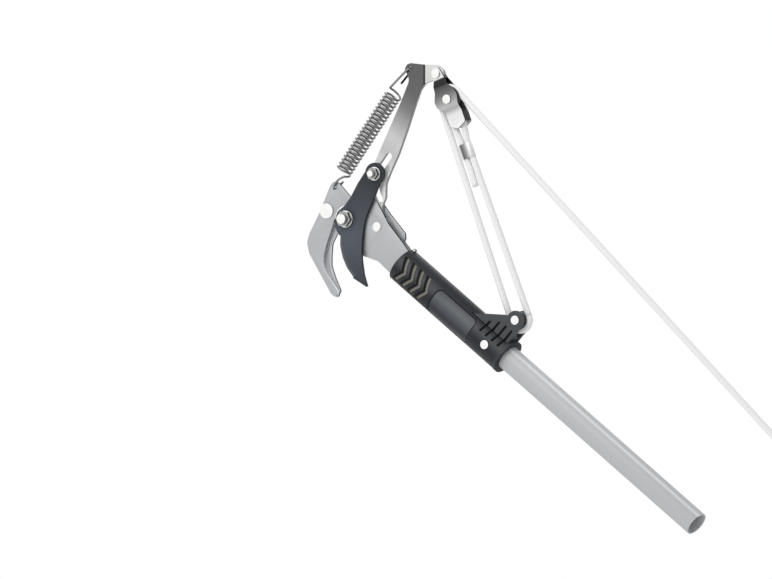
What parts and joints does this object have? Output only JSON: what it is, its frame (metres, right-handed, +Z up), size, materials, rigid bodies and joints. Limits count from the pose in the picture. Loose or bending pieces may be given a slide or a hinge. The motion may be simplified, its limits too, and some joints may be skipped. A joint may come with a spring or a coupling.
{
  "type": "tree pruner pole",
  "caption": "Cord-operated pruner head on a tube: hooked plates, a curved bypass blade, a long lever with a sheave block, a coil return spring and a moulded sleeve.",
  "frame": {"origin": "centre of the pole's open lower end", "axes": "+Z up along the pole towards the head, plates in the XZ plane, -Y towards the viewer's side, +X towards the lever's tip and the cord"},
  "size_m": [0.2581, 0.0384, 0.6007],
  "materials": {
    "pole": "plain drawn tube, satin grey",
    "sleeve": "moulded charcoal plastic",
    "plate": "plated sheet steel, satin grey",
    "fastener": "bright plated",
    "sheave": "dark moulded wheel",
    "blade": "charcoal coating",
    "lever": "bright plated steel",
    "cord": "white braided cord",
    "ferrule": "crimped light metal",
    "spring": "grey spring wire"
  },
  "bodies": {
    "body": {"pole_tube": "pole", "socket_sleeve": "sleeve", "sleeve_lugs": "sleeve", "hook_plate_front": "plate", "hook_plate_back": "plate", "hook_rivet": "fastener", "lever_rivet": "fastener", "pivot_bolt": "fastener", "pivot_nut": "fastener", "pivot_nut_washer": "fastener", "pivot_washer": "fastener", "pivot_spacer": "plate", "sleeve_rivets": "fastener", "sleeve_top_pin": "fastener", "lower_sheave_axle": "fastener"},
    "blade_body": {"blade": "blade", "link_bolt": "fastener", "link_nut": "fastener", "link_nut_washer": "fastener", "link_back_washer": "fastener", "link_collar": "plate"},
    "lever_body": {"lever_arm": "lever", "tip_pin": "fastener"},
    "block_body": {"block_strap": "lever", "upper_sheave_axle": "fastener", "becket_pin": "fastener", "cord_eye": "cord", "crimp_ferrule": "ferrule"},
    "upper_wheel": {"upper_sheave": "sheave"},
    "lower_wheel": {"lower_sheave": "sheave"},
    "turn_body": {"lower_turn": "cord"},
    "falls_body": {"standing_fall": "cord", "hauling_fall": "cord"},
    "pull_body": {"pull_cord": "cord", "cord_knot": "cord"},
    "low_hook_body": {"spring_low_hook": "spring"},
    "coil_body": {"spring_coil": "spring"},
    "top_hook_body": {"spring_top_hook": "spring"}
  },
  "joints": [
    {"name": "lever_pull", "type": "hinge", "parent": "body", "child": "lever_body", "pos_m": [0.0132, 0, 0.4715], "axis": [0, 1, 0], "range_deg": [-10, 50], "stiffness_Nm_per_rad": 4},
    {"name": "blade_swing", "type": "hinge", "parent": "body", "child": "blade_body", "pos_m": [-0.001, 0, 0.503], "axis": [0, 1, 0], "range_deg": [-9.1, 45]},
    {"name": "block_swing", "type": "hinge", "parent": "lever_body", "child": "block_body", "pos_m": [0.1759, 0, 0.5111], "axis": [0, 1, 0], "range_deg": [-30, 6]},
    {"name": "upper_sheave_spin", "type": "hinge", "parent": "block_body", "child": "upper_wheel", "pos_m": [0.16424, 0, 0.48425], "axis": [0, 1, 0], "range_deg": [-230, 1150]},
    {"name": "lower_sheave_spin", "type": "hinge", "parent": "body", "child": "lower_wheel", "pos_m": [0.0384, 0, 0.2851], "axis": [0, 1, 0], "range_deg": [-133, 662]},
    {"name": "turn_swing", "type": "hinge", "parent": "body", "child": "turn_body", "pos_m": [0.0384, 0, 0.2851], "axis": [0, 1, 0], "range_deg": [-5, 21]},
    {"name": "falls_stretch", "type": "slide", "parent": "turn_body", "child": "falls_body", "axis": [0.5198, 0, 0.8543], "range_m": [-0.121, 0.025], "deforming": ["standing_fall", "hauling_fall"]},
    {"name": "pull_swing", "type": "hinge", "parent": "block_body", "child": "pull_body", "pos_m": [0.16424, 0, 0.48425], "axis": [0, 1, 0], "range_deg": [-21, 5]},
    {"name": "low_hook_swing", "type": "hinge", "parent": "body", "child": "low_hook_body", "pos_m": [0.0141, 0, 0.5336], "axis": [0, 1, 0], "range_deg": [-10, 46]},
    {"name": "coil_stretch", "type": "slide", "parent": "low_hook_body", "child": "coil_body", "axis": [0.9993, 0, 0.0381], "range_m": [-0.011, 0.052], "deforming": ["spring_coil"]},
    {"name": "top_hook_swing", "type": "hinge", "parent": "lever_body", "child": "top_hook_body", "pos_m": [0.1611, 0, 0.5392], "axis": [0, 1, 0], "range_deg": [-5.5, 1.5]}
  ],
  "couplings": [
    {"joint": "blade_swing", "follows": "lever_pull", "ratio": 0.896},
    {"joint": "block_swing", "follows": "lever_pull", "ratio": -0.586},
    {"joint": "upper_sheave_spin", "follows": "lever_pull", "ratio": 22.9},
    {"joint": "lower_sheave_spin", "follows": "lever_pull", "ratio": 13.2},
    {"joint": "turn_swing", "follows": "lever_pull", "ratio": 0.414},
    {"joint": "falls_stretch", "follows": "lever_pull", "m_per_rad": -0.1376},
    {"joint": "pull_swing", "follows": "lever_pull", "ratio": -0.414},
    {"joint": "low_hook_swing", "follows": "lever_pull", "ratio": 0.895},
    {"joint": "coil_stretch", "follows": "lever_pull", "m_per_rad": 0.0582},
    {"joint": "top_hook_swing", "follows": "lever_pull", "ratio": -0.105}
  ]
}
